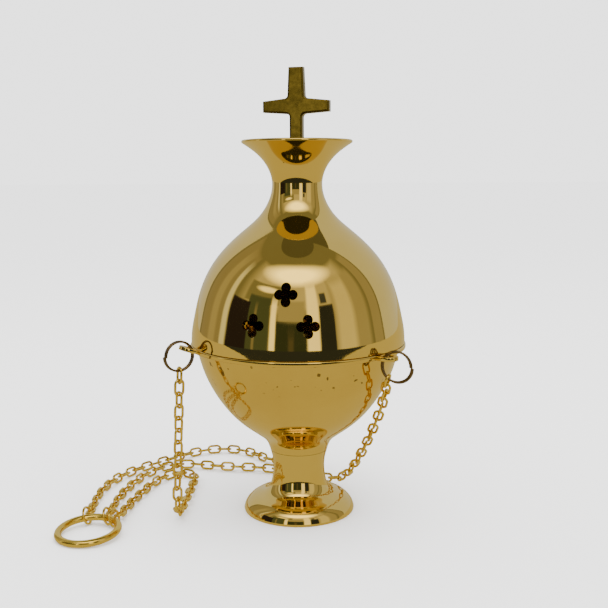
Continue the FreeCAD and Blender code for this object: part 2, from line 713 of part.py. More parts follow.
def make_chain(side):
    """Separate links along the route, each turned a quarter from the one before it. The first
    one hangs across its split ring's wire and the last one is held across its end loop's."""
    path, radii = route_path(CHAIN_ROUTES[side])
    count = round(path.Length / number("link_pitch"))
    joints = path.discretize(Number=count + 1)
    middles = [(start + finish) * 0.5 for start, finish in zip(joints, joints[1:])]
    on_table = next(index for index, middle in enumerate(middles) if middle.z < 3.0)
    across = place_at(LUGS[side]["plane"]).cross(Vector(0, 0, 1))
    frames = []
    for index, (start, finish) in enumerate(zip(joints, joints[1:])):
        along = (finish - start).normalize()
        across = (across - along * across.dot(along)).normalize()
        frames.append((along, across, 90.0 * (index % 2)))
    along, across, quarter = frames[-1]
    wanted = along.cross(loop_rise(LOOPS[side]))
    missing = turn_between(along, Rotation(along, quarter).multVec(across), wanted)
    added = (missing + 90.0) % 180.0 - 90.0
    link = link_shape()
    links = []
    for index, (middle, (along, across, quarter)) in enumerate(zip(middles, frames)):
        twist = quarter + added * min(1.0, index / on_table)
        width = Rotation(along, twist).multVec(across)
        placed = link.copy()
        placed.Placement = Placement(middle, Rotation(along, width, along.cross(width), "XYZ"))
        links.append(placed)
    chain = doc.addObject("Part::Feature", "chain_" + side)
    chain.Label = "chain_" + side
    chain.Shape = Part.Compound(links)
    print("chain_%s: length %.1f mm, %d links, smallest bend %.1f mm, turned %.0f degrees on the way"
          % (side, path.Length, count, min(radii), added))
    return chain


def hand_tilt():
    return Rotation(place_at(HAND_TILT_AXIS), number("hand_tilt"))


def loop_rise(spec):
    """Direction from a leaning end loop's bottom to its top."""
    lean = math.radians(number("loop_lean"))
    sideways = Vector(0, 0, 1).cross(place_at(spec["points"]))
    return Vector(0, 0, 1) * math.cos(lean) + sideways * math.sin(lean)


def make_end_loop(side, spec):
    """The round link that holds a chain's end on the hand ring."""
    on_ring = hand_tilt().multVec(place_at(spec["on_ring"]) * number("hand_mean_radius"))
    outward = place_at(spec["points"])
    rising = loop_rise(spec)
    centre = HAND_RING_CENTRE + on_ring + outward * number("loop_shift")
    centre.z = number("loop_mean_radius") * rising.z + number("loop_wire_radius + seat_gap")
    loop = doc.addObject("Part::Torus", "end_loop_" + side)
    loop.Label = "end_loop_" + side
    loop.setExpression("Radius1", bound("loop_mean_radius"))
    loop.setExpression("Radius2", bound("loop_wire_radius"))
    loop.Placement = Placement(centre, Rotation(outward, rising, outward.cross(rising), "XYZ"))
    print("end_loop_%s: centre %.2f %.2f %.2f" % (side, centre.x, centre.y, centre.z))
    return loop


def make_hand_ring():
    ring = doc.addObject("Part::Torus", "hand_ring")
    ring.Label = "hand_ring"
    ring.setExpression("Radius1", bound("hand_mean_radius"))
    ring.setExpression("Radius2", bound("hand_wire_radius"))
    ring.Placement = Placement(HAND_RING_CENTRE, hand_tilt())
    return ring


def make_all():
    parts = [make_foot(), make_bowl()]
    parts += make_foot_fixings()
    parts += [make_charcoal_cup(), make_lid_dome(), make_lid_chimney(), make_lid_locating_ring()]
    parts += [make_smoke_plate(), make_cross()]
    parts.append(hexagon_nut("cross_nut", "cross_nut_half", "rod_radius",
                             "plate_bottom - cross_nut_height", "cross_nut_height"))
    for side, spec in LUGS.items():
        parts.append(make_split_ring(side, spec))
        parts.append(make_chain(side))
        parts.append(make_end_loop(side, LOOPS[side]))
    parts.append(make_hand_ring())
    return parts


def check(parts):
    """Stop unless every object and every shape is sound."""
    doc.recompute()
    for item in doc.Objects:
        if "Invalid" in item.State or "Error" in item.State:
            raise RuntimeError("%s is in state %s" % (item.Label, item.State))
    for item in parts:
        if item.Shape.isNull() or not item.Shape.isValid():
            raise RuntimeError("%s has no valid shape" % item.Label)
        print("%-18s %2d solids %9.1f mm3" % (item.Label, len(item.Shape.Solids), item.Shape.Volume))


parts = make_all()
check(parts)
os.makedirs("parts", exist_ok=True)
for item in parts:
    item.Shape.exportStep("parts/%s.step" % item.Label)
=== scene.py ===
import json
import math

import bmesh
import bpy
import numpy as np
from mathutils import Matrix, Vector


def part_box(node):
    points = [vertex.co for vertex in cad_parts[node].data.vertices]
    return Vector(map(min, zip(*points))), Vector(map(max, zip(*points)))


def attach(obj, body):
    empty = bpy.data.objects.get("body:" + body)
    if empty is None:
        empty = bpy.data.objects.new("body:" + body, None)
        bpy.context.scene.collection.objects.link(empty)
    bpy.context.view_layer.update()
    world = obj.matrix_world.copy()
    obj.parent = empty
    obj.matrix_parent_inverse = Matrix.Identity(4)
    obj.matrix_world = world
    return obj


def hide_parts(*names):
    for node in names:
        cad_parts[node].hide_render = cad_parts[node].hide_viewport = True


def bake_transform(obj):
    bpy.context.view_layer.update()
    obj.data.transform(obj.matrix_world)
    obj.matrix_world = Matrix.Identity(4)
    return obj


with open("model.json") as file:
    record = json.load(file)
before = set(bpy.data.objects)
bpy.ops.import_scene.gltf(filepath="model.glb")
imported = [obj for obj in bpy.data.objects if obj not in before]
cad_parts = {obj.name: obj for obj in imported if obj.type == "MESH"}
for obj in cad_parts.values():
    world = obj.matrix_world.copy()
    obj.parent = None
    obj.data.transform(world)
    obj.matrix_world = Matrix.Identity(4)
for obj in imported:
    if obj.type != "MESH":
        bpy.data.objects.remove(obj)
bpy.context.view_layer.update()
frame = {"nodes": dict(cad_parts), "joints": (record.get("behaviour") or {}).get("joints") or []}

MM = 0.001
JOINTS = {joint["name"]: joint for joint in frame["joints"]}
SCENE = bpy.context.scene


# ---- camera, at the photograph's angle ----

CAMERA_BEARING = 3.5
CAMERA_PITCH = 8.0
CAMERA_ROLL = 0.3
CAMERA_DISTANCE = 0.33745
CAMERA_HEIGHT = 0.1275
CAMERA_ASIDE = 0.0023
LENS_LENGTH = 53.3
SENSOR_WIDTH = 36.0


def make_camera():
    data = bpy.data.cameras.new("camera")
    data.lens = LENS_LENGTH
    data.sensor_width = SENSOR_WIDTH
    data.clip_start = 0.01
    data.clip_end = 20.0
    camera = bpy.data.objects.new("camera", data)
    SCENE.collection.objects.link(camera)
    turn = math.radians(CAMERA_BEARING)
    right = Vector((math.cos(turn), math.sin(turn), 0))
    ahead = Vector((-math.sin(turn), math.cos(turn), 0))
    camera.location = right * CAMERA_ASIDE - ahead * CAMERA_DISTANCE + Vector((0, 0, CAMERA_HEIGHT))
    pitch = math.radians(CAMERA_PITCH)
    look = ahead * math.cos(pitch) - Vector((0, 0, 1)) * math.sin(pitch)
    level = look.to_track_quat("-Z", "Y")
    roll = Matrix.Rotation(math.radians(CAMERA_ROLL), 3, look).to_quaternion()
    camera.rotation_mode = "QUATERNION"
    camera.rotation_quaternion = roll @ level
    SCENE.camera = camera


make_camera()


# ---- mesh helpers ----

def new_object(name, mesh):
    made = bpy.data.objects.new(name, mesh)
    SCENE.collection.objects.link(made)
    return made


def mesh_from(name, points, faces, smooth=True):
    mesh = bpy.data.meshes.new(name)
    mesh.from_pydata([tuple(p) for p in points], [], faces)
    mesh.update()
    if smooth:
        mesh.shade_smooth()
    return mesh


def smooth_route(points):
    """Points along the NURBS line through a given route, close together."""
    curve = bpy.data.curves.new("route", "CURVE")
    curve.dimensions = "3D"
    curve.resolution_u = 24
    spline = curve.splines.new("NURBS")
    spline.points.add(len(points) - 1)
    for place, point in zip(spline.points, points):
        place.co = (point[0] * MM, point[1] * MM, point[2] * MM, 1.0)
    spline.order_u = 3
    spline.use_endpoint_u = True
    holder = bpy.data.objects.new("route", curve)
    SCENE.collection.objects.link(holder)
    bpy.context.view_layer.update()
    line = bpy.data.meshes.new_from_object(holder)
    found = [vertex.co.copy() for vertex in line.vertices]
    bpy.data.objects.remove(holder)
    bpy.data.curves.remove(curve)
    bpy.data.meshes.remove(line)
    return found


CAP_BULGE = 0.35


def tube(centres, radius, around=16, closed=False, start_normal=None):
    """Points and faces of a round tube along centres, with flat rounded ends unless it is closed."""
    count = len(centres)
    tangents = []
    for index in range(count):
        if closed:
            step = centres[(index + 1) % count] - centres[index - 1]
        else:
            step = centres[min(index + 1, count - 1)] - centres[max(index - 1, 0)]
        tangents.append(step.normalized())
    normal = start_normal or tangents[0].orthogonal()
    points = []
    for centre, tangent in zip(centres, tangents):
        normal = (normal - tangent * normal.dot(tangent)).normalized()
        side = tangent.cross(normal)
        for step in range(around):
            angle = 2 * math.pi * step / around
            points.append(centre + (normal * math.cos(angle) + side * math.sin(angle)) * radius)
    faces = []
    for index in range(count if closed else count - 1):
        here = index * around
        there = ((index + 1) % count) * around
        for step in range(around):
            following = (step + 1) % around
            faces.append((here + step, here + following, there + following, there + step))
    if not closed:
        for first, end, outward in ((0, 0, -1.0), ((count - 1) * around, count - 1, 1.0)):
            cap = len(points)
            points.append(centres[end] + tangents[end] * outward * radius * CAP_BULGE)
            for step in range(around):
                pair = (first + step, first + (step + 1) % around)
                faces.append((pair[1], pair[0], cap) if outward < 0 else (pair[0], pair[1], cap))
    return points, faces


def spline_through(knots, steps):
    """A smooth curve through given (radius, height) knots: a cubic with no kinks."""
    known = np.array(knots, float)
    spans = np.hypot(*np.diff(known, axis=0).T)
    at = np.concatenate([[0.0], np.cumsum(spans)])
    size = len(knots)
    matrix = np.zeros((size, size))
    wanted = np.zeros((size, 2))
    matrix[0, :2] = (2 * spans[0], spans[0])
    wanted[0] = 3 * (known[1] - known[0])
    matrix[-1, -2:] = (spans[-1], 2 * spans[-1])
    wanted[-1] = 3 * (known[-1] - known[-2])
    for row in range(1, size - 1):
        before, after = spans[row - 1], spans[row]
        matrix[row, row - 1:row + 2] = (after, 2 * (before + after), before)
        wanted[row] = 3 * (after * (known[row] - known[row - 1]) / before
                           + before * (known[row + 1] - known[row]) / after)
    slopes = np.linalg.solve(matrix, wanted)
    found = []
    for place in np.linspace(0.0, at[-1], steps):
        span = min(int(np.searchsorted(at, place, side="right")) - 1, size - 2)
        share = (place - at[span]) / spans[span]
        low, high = known[span], known[span + 1]
        ease = share * share * (3 - 2 * share)
        found.append(low * (1 - ease) + high * ease
                     + spans[span] * share * (1 - share)
                     * ((1 - share) * slopes[span] - share * slopes[span + 1]))
    return [tuple(point) for point in found]


def offset_inwards(profile, wall):
    """The same profile moved towards the axis by the wall's thickness."""
    line = np.array(profile)
    along = np.gradient(line, axis=0)
    along /= np.linalg.norm(along, axis=1)[:, None]
    left = np.stack([-along[:, 1], along[:, 0]], axis=1)
    return [tuple(point) for point in line + left * wall]


LATHE_STEPS = 288


def lathe(profile):
    """Points and faces of a closed profile of (radius, height) in millimetres turned about the axis."""
    points = []
    for radius, height in profile:
        for step in range(LATHE_STEPS):
            angle = 2 * math.pi * step / LATHE_STEPS
            points.append(Vector((radius * math.cos(angle), radius * math.sin(angle), height)) * MM)
    rows = len(profile)
    faces = []
    for row in range(rows):
        here = row * LATHE_STEPS
        there = ((row + 1) % rows) * LATHE_STEPS
        for step in range(LATHE_STEPS):
            following = (step + 1) % LATHE_STEPS
            faces.append((here + step, here + following, there + following, there + step))
    return points, faces


def mark_corners(mesh, degrees):
    """Smooth shading that stays crisp at edges sharper than that."""
    mesh.shade_smooth()
    mesh.set_sharp_from_angle(angle=math.radians(degrees))


def face_outwards(mesh):
    work = bmesh.new()
    work.from_mesh(mesh)
    bmesh.ops.recalc_face_normals(work, faces=work.faces)
    work.to_mesh(mesh)
    work.free()


def bearing(degrees):
    angle = math.radians(degrees)
    return Vector((math.cos(angle), math.sin(angle), 0))


# ---- materials ----

def node(tree, kind, **values):
    made = tree.nodes.new(kind)
    for key, value in values.items():
        setattr(made, key, value)
    return made


def link(tree, source, target):
    tree.links.new(source, target)


def noise(tree, coordinates, scale, detail, roughness):
    made = node(tree, "ShaderNodeTexNoise")
    made.inputs["Scale"].default_value = scale
    made.inputs["Detail"].default_value = detail
    made.inputs["Roughness"].default_value = roughness
    link(tree, coordinates, made.inputs["Vector"])
    return made.outputs["Fac"]


def ramp(tree, source, low, high, low_value, high_value):
    made = node(tree, "ShaderNodeMapRange")
    made.inputs["From Min"].default_value = low
    made.inputs["From Max"].default_value = high
    made.inputs["To Min"].default_value = low_value
    made.inputs["To Max"].default_value = high_value
    link(tree, source, made.inputs["Value"])
    return made.outputs["Result"]


def arithmetic(tree, operation, first, second):
    made = node(tree, "ShaderNodeMath", operation=operation)
    for socket, value in zip(made.inputs, (first, second)):
        if isinstance(value, (int, float)):
            socket.default_value = value
        else:
            link(tree, value, socket)
    return made.outputs[0]


def mix_colours(tree, share, first, second):
    made = node(tree, "ShaderNodeMix", data_type="RGBA")
    link(tree, share, made.inputs["Factor"])
    for socket, value in ((made.inputs[6], first), (made.inputs[7], second)):
        if isinstance(value, tuple):
            socket.default_value = (*value, 1.0)
        else:
            link(tree, value, socket)
    return made.outputs[2]


DIRT = (0.10, 0.055, 0.02)
WAVE_SCALE = 24.0
GRAIN_SCALE = 900.0
LATHE_LINE_SCALE = 2600.0


def metal(name, colour, tarnish, rough, wear, turned=0.0, wave=0.0, grain=0.0, specks=None):
    """A worn metal: uneven tarnish, handling marks in the gloss, and a surface that was turned on
    a lathe (fine rings), beaten a little uneven (wave) or cast (grain). Specks are small pits of
    dirt, between two heights."""
    material = bpy.data.materials.new(name)
    material.use_nodes = True
    tree = material.node_tree
    shader = tree.nodes["Principled BSDF"]
    shader.inputs["Metallic"].default_value = 1.0
    place = node(tree, "ShaderNodeTexCoord").outputs["Object"]
    parts = node(tree, "ShaderNodeSeparateXYZ")
    link(tree, place, parts.inputs[0])
    cloudy = noise(tree, place, 38.0, 4.0, 0.6)
    fine = noise(tree, place, 620.0, 3.0, 0.6)
    smudge = noise(tree, place, 95.0, 5.0, 0.65)
    stain = ramp(tree, cloudy, 0.42, 0.72, 0.0, 0.55)
    base = mix_colours(tree, stain, colour, tarnish)
    if specks:
        low, high = specks
        flecks = ramp(tree, noise(tree, place, 420.0, 1.0, 0.4), 0.685, 0.715, 0.0, 0.8)
        above = ramp(tree, parts.outputs["Z"], low - 0.004, low, 0.0, 1.0)
        below = ramp(tree, parts.outputs["Z"], high, high + 0.002, 1.0, 0.0)
        band = arithmetic(tree, "MULTIPLY", above, below)
        base = mix_colours(tree, arithmetic(tree, "MULTIPLY", flecks, band), base, DIRT)
    link(tree, base, shader.inputs["Base Color"])
    marks = ramp(tree, smudge, 0.45, 0.75, 0.0, wear)
    gloss = arithmetic(tree, "ADD", marks, ramp(tree, fine, 0.3, 0.7, rough * 0.75, rough * 1.25))
    link(tree, gloss, shader.inputs["Roughness"])
    height = None
    if turned:
        level = node(tree, "ShaderNodeCombineXYZ")
        link(tree, parts.outputs["Z"], level.inputs["Z"])
        lines = noise(tree, level.outputs[0], LATHE_LINE_SCALE, 2.0, 0.7)
        height = arithmetic(tree, "MULTIPLY", lines, turned)
    waves = noise(tree, place, WAVE_SCALE, 1.0, 0.4)
    grains = noise(tree, place, GRAIN_SCALE, 4.0, 0.7)
    for amount, source in ((wave, waves), (grain, grains)):
        if amount:
            part = arithmetic(tree, "MULTIPLY", source, amount)
            height = part if height is None else arithmetic(tree, "ADD", height, part)
    if height is not None:
        bump = node(tree, "ShaderNodeBump")
        bump.inputs["Strength"].default_value = 1.0
        bump.inputs["Distance"].default_value = 0.001
        link(tree, height, bump.inputs["Height"])
        link(tree, bump.outputs["Normal"], shader.inputs["Normal"])
    return material


POLISHED = metal("polished_brass", (0.80, 0.59, 0.17), (0.72, 0.50, 0.13), 0.03, 0.05,
                 turned=0.0015, wave=0.06)
SPUN = metal("spun_brass", (0.79, 0.57, 0.155), (0.70, 0.48, 0.12), 0.05, 0.09,
             turned=0.003, wave=0.10, specks=(0.056, 0.0625))
INSIDE = metal("inside_brass", (0.40, 0.25, 0.07), (0.16, 0.09, 0.03), 0.34, 0.25,
               turned=0.02, grain=0.05)
CAST = metal("aged_brass", (0.16, 0.12, 0.025), (0.10, 0.075, 0.018), 0.20, 0.10, wave=0.03)
CHAIN = metal("chain_brass", (0.84, 0.61, 0.13), (0.62, 0.42, 0.08), 0.13, 0.12, grain=0.02)
SPRING = metal("dark_steel", (0.20, 0.14, 0.08), (0.09, 0.06, 0.035), 0.22, 0.15, grain=0.03)


def dress(piece, material):
    piece.data.materials.clear()
    piece.data.materials.append(material)


# ---- chains: separate links on each route ----

CHAIN_ROUTES = {
    "left": [
        (-41.33, -22.4, 59.4), (-42.1, -22.6, 38.5), (-43.3, -20.9, 19.0), (-44.0, -19.6, 7.2),
        (-44.4, -15.0, 2.2), (-44.6, -6.5, 2.1), (-44.7, 3.0, 2.1), (-45.0, 12.5, 2.1),
        (-45.5, 21.5, 2.1), (-46.0, 29.8, 2.1), (-50.9, 33.2, 2.1), (-56.7, 31.7, 2.1),
        (-61.2, 22.9, 2.1), (-63.6, 11.0, 2.1), (-65.2, -1.0, 2.1), (-65.8, -12.5, 2.35),
        (-65.94, -21.0, 3.47),
    ],
    "right": [
        (33.28, -28.4, 58.42), (31.9, -16.6, 45.9), (29.0, -6.2, 34.8), (25.6, 4.0, 23.6),
        (21.6, 13.8, 13.2), (17.3, 22.5, 4.9), (11.4, 27.8, 2.2), (3.0, 32.0, 2.1),
        (-7.0, 36.9, 2.1), (-17.5, 41.2, 2.1), (-29.0, 41.6, 2.1), (-40.5, 42.6, 2.1),
        (-51.0, 45.4, 2.1), (-59.5, 43.0, 2.1), (-65.8, 35.2, 2.1), (-69.4, 24.0, 2.1),
        (-71.2, 11.5, 2.1), (-71.9, -1.0, 2.1), (-71.0, -11.5, 2.35), (-69.51, -19.11, 3.47),
    ],
    "back": [
        (0.29, 46.4, 56.4), (0.1, 46.7, 38.0), (-0.2, 47.2, 20.5), (-1.2, 47.9, 8.0),
        (-5.4, 49.0, 2.25), (-12.5, 50.6, 2.1), (-19.4, 54.6, 2.1), (-24.6, 61.8, 2.1),
        (-32.8, 67.4, 2.1), (-43.8, 67.6, 2.1), (-53.2, 61.9, 2.1), (-60.4, 52.6, 2.1),
        (-68.0, 43.4, 2.1), (-75.2, 33.4, 2.1), (-79.8, 21.6, 2.1), (-81.0, 8.6, 2.1),
        (-80.2, -3.6, 2.1), (-78.6, -12.4, 2.35), (-77.26, -18.96, 3.47),
    ],
}
LINK_PITCH = 4.6 * MM
LINK_HALF = 1.3 * MM
LINK_BEND = 1.56 * MM
LINK_WIRE = 0.49 * MM
LOOP_POINTS = {"left": 72.0, "right": 84.0, "back": 85.0}
LOOP_LEAN = 15.0
ON_TABLE_BELOW = 3 * MM
LINK_LOOSENESS = 7


def along_line(line, places):
    """Points at the given distances along a line of close points."""
    reach = [0.0]
    for before, after in zip(line, line[1:]):
        reach.append(reach[-1] + (after - before).length)
    found = []
    for place in places:
        index = min(max(int(np.searchsorted(reach, place)), 1), len(line) - 1)
        share = (place - reach[index - 1]) / (reach[index] - reach[index - 1])
        found.append(line[index - 1].lerp(line[index], share))
    return found


LINK_END_STEPS = 9


def link_outline():
    """Centres of one link's wire: two straight sides and two half-round ends."""
    outline = []
    for side in (1, -1):
        for step in range(LINK_END_STEPS + 1):
            angle = math.pi / 2 - math.pi * step / LINK_END_STEPS
            outline.append(Vector((side * (LINK_HALF + LINK_BEND * math.cos(angle)),
                                   side * LINK_BEND * math.sin(angle), 0)))
    return outline


def turn_between(along, before, after):
    return math.atan2(along.dot(before.cross(after)), before.dot(after))


def make_chain(side):
    """Each link stands a quarter turn from the last. On its way down to the table the chain turns
    further, by what the end loop's lean asks of the last link."""
    line = smooth_route(CHAIN_ROUTES[side])
    length = sum((after - before).length for before, after in zip(line, line[1:]))
    count = round(length / LINK_PITCH)
    joints = along_line(line, [length * step / count for step in range(count + 1)])
    hinge = JOINTS["split_ring_%s_swing" % side]
    across = Vector(hinge["axis"])
    frames = []
    for index, (start, finish) in enumerate(zip(joints, joints[1:])):
        along = (finish - start).normalized()
        across = (across - along * across.dot(along)).normalized()
        frames.append(((start + finish) / 2, along, across.copy(), math.pi / 2 * (index % 2)))
    outward = bearing(LOOP_POINTS[side])
    lean = math.radians(LOOP_LEAN)
    rise = Vector((0, 0, 1)) * math.cos(lean) + Vector((0, 0, 1)).cross(outward) * math.sin(lean)
    middle, along, across, quarter = frames[-1]
    missing = turn_between(along, Matrix.Rotation(quarter, 3, along) @ across, along.cross(rise))
    added = (missing + math.pi / 2) % math.pi - math.pi / 2
    on_table = next(index for index, given in enumerate(frames) if given[0].z < ON_TABLE_BELOW)
    shape, shape_faces = tube(link_outline(), LINK_WIRE, 12, closed=True,
                              start_normal=Vector((0, 0, 1)))
    points, faces = [], []
    random = np.random.default_rng(len(side))
    for index, (middle, along, across, quarter) in enumerate(frames):
        held = index in (0, count - 1)
        loose = 0.0 if held else math.radians(random.uniform(-LINK_LOOSENESS, LINK_LOOSENESS))
        twist = quarter + added * min(1.0, index / on_table) + loose
        width = Matrix.Rotation(twist, 3, along) @ across
        turn = Matrix((along, width, along.cross(width))).transposed()
        first = len(points)
        points += [turn @ point + middle for point in shape]
        faces += [tuple(first + corner for corner in face) for face in shape_faces]
    mesh = mesh_from("chain_" + side + "_links", points, faces)
    chain = new_object("chain_" + side + "_links", mesh)
    dress(chain, CHAIN)
    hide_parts("chain_" + side)
    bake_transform(chain)


for name in CHAIN_ROUTES:
    make_chain(name)


# ---- split rings, end loops and hand ring ----

SPLIT_RADIUS = 5.35 * MM
SPLIT_WIRE = 0.42 * MM
SPLIT_PITCH = 0.88 * MM
SPLIT_SPREAD = {"left": 0.1 * MM, "right": 0.75 * MM, "back": 0.3 * MM}
SPLIT_STEPS = 72


def make_split_ring(side):
    """Two turns of spring wire that have sprung a little apart, with their cut ends."""
    node_name = "split_ring_" + side
    low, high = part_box(node_name)
    centre = (low + high) / 2
    axis = Vector(JOINTS[node_name + "_swing"]["axis"])
    outward = Vector((0, 0, 1)).cross(axis)
    centres = []
    for step in range(2 * SPLIT_STEPS + 1):
        angle = 2 * math.pi * step / SPLIT_STEPS
        turns = step / SPLIT_STEPS - 1.0
        aside = outward * turns * SPLIT_SPREAD[side] + axis * turns * SPLIT_PITCH
        around = outward * math.cos(angle) + Vector((0, 0, 1)) * math.sin(angle)
        centres.append(centre + aside + around * SPLIT_RADIUS)
    points, faces = tube(centres, SPLIT_WIRE, 14)
    ring = new_object(node_name + "_coil", mesh_from(node_name + "_coil", points, faces))
    face_outwards(ring.data)
    dress(ring, SPRING)
    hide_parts(node_name)
    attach(ring, node_name)


for name in CHAIN_ROUTES:
    make_split_ring(name)


# ---- turned and spun pieces: mirror-smooth shells about the axis ----

LID_OUTSIDE = [(40.3, 66.15), (40.05, 70.6), (39.2, 75.5), (36.4, 86.5), (32.0, 95.5), (26.0, 102.8),
               (19.6, 108.5), (14.4, 113.2), (11.2, 117.9), (9.6, 122.5), (9.5, 127.0), (11.4, 132.0),
               (14.7, 136.0), (20.3, 140.1)]
BOWL_OUTSIDE = [(11.0, 24.05), (12.4, 27.5), (15.6, 30.5), (19.6, 33.4), (24.2, 37.3), (29.0, 42.9),
                (33.1, 49.4), (36.2, 56.5), (38.3, 64.1)]
FOOT_OUTSIDE = [(21.3, 0.9), (20.6, 2.9), (19.3, 4.5), (17.7, 5.7), (15.6, 6.5), (13.6, 7.25),
                (12.1, 8.4), (11.0, 10.0), (10.4, 12.0), (9.95, 15.0), (9.87, 18.0), (10.2, 21.0),
                (11.0, 23.95)]
FOOT_UNDERSIDE = [(2.6, 23.95), (2.6, 17.5), (7.0, 17.5), (7.0, 12.0), (8.4, 7.6), (13.6, 4.5),
                  (18.7, 2.2), (19.3, 0.15), (19.45, 0.0), (20.9, 0.0), (21.15, 0.3)]
LID_WALL = 1.25
BOWL_WALL = 1.3
BOWL_EDGE_RADIUS = 0.5
BOWL_FLOOR_LEVEL = 32.2

# Each group of smoke holes: height in millimetres, and degrees from the group's middle.
SMOKE_HOLES = ((88.2, -2.7), (77.7, -19.6), (77.7, 8.9))
HOLE_GROUPS = (0, 120, 240)
LOBE_RADIUS = 1.68
LOBE_AWAY = 2.35
LOBE_MEET = 1.35
LOBE_STEPS = 15
CUTTER_DEPTHS = (22.0, 46.0)


def rounded(centre, radius, start, finish, steps=8):
    """An arc of a profile; angles in degrees, 0 points away from the axis and 90 points up."""
    found = []
    for step in range(steps + 1):
        angle = math.radians(start + (finish - start) * step / steps)
        found.append((centre[0] + radius * math.cos(angle), centre[1] + radius * math.sin(angle)))
    return found


CORNER_ANGLE = 35


def turned_piece(name, profile, corner=CORNER_ANGLE):
    points, faces = lathe(profile)
    piece = new_object(name, mesh_from(name, points, faces))
    face_outwards(piece.data)
    mark_corners(piece.data, corner)
    return piece


def four_lobes(height, turn):
    """A cutter for one smoke hole: four round lobes, running out from inside the lid."""
    middle = Vector((LOBE_AWAY, 0))
    sweep = 2 * math.atan2(LOBE_MEET, LOBE_MEET - LOBE_AWAY)
    outline = []
    for quarter in range(4):
        for step in range(LOBE_STEPS):
            angle = -sweep / 2 + sweep * step / LOBE_STEPS
            point = middle + Vector((math.cos(angle), math.sin(angle))) * LOBE_RADIUS
            swing = math.radians(90 * quarter)
            outline.append((point.x * math.cos(swing) - point.y * math.sin(swing),
                            point.x * math.sin(swing) + point.y * math.cos(swing)))
    outward = bearing(turn - 90)
    sideways = Vector((0, 0, 1)).cross(outward)
    points = []
    for depth in CUTTER_DEPTHS:
        for across, up in outline:
            points.append((outward * depth + sideways * across + Vector((0, 0, height + up))) * MM)
    size = len(outline)
    faces = [tuple(reversed(range(size))), tuple(range(size, 2 * size))]
    faces += [(step, (step + 1) % size, size + (step + 1) % size, size + step) for step in range(size)]
    return points, faces


def make_lid_shell():
    outside = spline_through(LID_OUTSIDE, 260)
    inside = offset_inwards(outside, LID_WALL)[::-1]
    lip = rounded(((outside[-1][0] + inside[0][0]) / 2, (outside[-1][1] + inside[0][1]) / 2),
                  LID_WALL / 2, -52, 128, 8)[1:-1]
    points, faces = lathe(outside + lip + inside[::2])
    shell = new_object("lid_shell", mesh_from("lid_shell", points, faces))
    face_outwards(shell.data)
    points, faces = [], []
    for group in HOLE_GROUPS:
        for height, turn in SMOKE_HOLES:
            cut_points, cut_faces = four_lobes(height, turn + group)
            faces += [tuple(len(points) + corner for corner in face) for face in cut_faces]
            points += cut_points
    cutter = new_object("lid_cutter", mesh_from("lid_cutter", points, faces, smooth=False))
    face_outwards(cutter.data)
    cut = shell.modifiers.new("smoke_holes", "BOOLEAN")
    cut.operation = "DIFFERENCE"
    cut.solver = "EXACT"
    cut.object = cutter
    bpy.context.view_layer.update()
    finished = shell.evaluated_get(bpy.context.evaluated_depsgraph_get())
    pierced = bpy.data.meshes.new_from_object(finished)
    shell.modifiers.clear()
    shell.data = pierced
    bpy.data.objects.remove(cutter)
    exact_normals(pierced, outside)
    return shell


CURVE_REACH = 0.3
SAME_WAY = 0.97


def exact_normals(mesh, outside):
    """Turned faces get the spun curve's own normals, so that the holes leave no dents in the mirror."""
    line = np.array(outside)
    slope = np.gradient(line, axis=0)
    slope /= np.linalg.norm(slope, axis=1)[:, None]
    out = np.stack([slope[:, 1], -slope[:, 0]], axis=1)
    mark_corners(mesh, CORNER_ANGLE)
    mesh.update()
    given = [Vector(corner.vector) for corner in mesh.corner_normals]
    for face in mesh.polygons:
        middle = face.center / MM
        reach = math.hypot(middle.x, middle.y)
        for sign, at in ((1.0, line), (-1.0, line - out * LID_WALL)):
            nearest = int(np.argmin((at[:, 0] - reach) ** 2 + (at[:, 1] - middle.z) ** 2))
            if math.hypot(at[nearest][0] - reach, at[nearest][1] - middle.z) > CURVE_REACH:
                continue
            across, up = out[nearest]
            flat = Vector((across * middle.x / reach, across * middle.y / reach, up)) * sign
            if face.normal.dot(flat) < SAME_WAY:
                continue
            for corner in face.loop_indices:
                place = mesh.vertices[mesh.loops[corner].vertex_index].co / MM
                across = float(np.interp(place.z, at[:, 1], out[:, 0])) * sign
                up = float(np.interp(place.z, at[:, 1], out[:, 1])) * sign
                away = math.hypot(place.x, place.y)
                exact = Vector((across * place.x / away, across * place.y / away, up))
                given[corner] = exact.normalized()
    mesh.normals_split_custom_set(given)


def make_bowl_shell():
    outside = spline_through(BOWL_OUTSIDE, 150)
    inside = [point for point in offset_inwards(outside, BOWL_WALL) if point[1] > BOWL_FLOOR_LEVEL][::-1]
    edge = [(38.6, 64.12)] + rounded((40.2, 64.6), BOWL_EDGE_RADIUS, -90, 0, 5)
    edge += rounded((40.2, 65.4), BOWL_EDGE_RADIUS, 0, 90, 5)
    rim = [(37.4, 65.9), (37.1, 65.7)]
    floor = [(14.4, 31.5), (2.6, 31.5), (2.6, 24.05)]
    return turned_piece("bowl_shell", outside + edge + rim + inside + floor)


def make_foot_shell():
    outside = spline_through(FOOT_OUTSIDE, 150)
    return turned_piece("foot_shell", outside + FOOT_UNDERSIDE, 30)


# Lugs, in millimetres: each outline lies flat, with x outwards from the flange's edge.
LUG_ROOT = Vector((40.0, 0, 65.1))
LUG_BACK = -1.2
LUG_STRAIGHT = 3.6
LUG_TIP = 4.5
LUG_HALF_WIDTH = 3.3
TIP_RADIUS = 3.4
TIP_ANGLE = 1.33
TIP_STEPS = 14
LUG_THICKNESS = 1.5
LUG_EASE = 0.22
HOLE_AWAY = 3.2
HOLE_RADIUS = 2.1
HOLE_STEPS = 32
LUGS = {"left": (-152.0, 18.0), "right": (-40.0, 0.0), "back": (90.0, 0.0)}


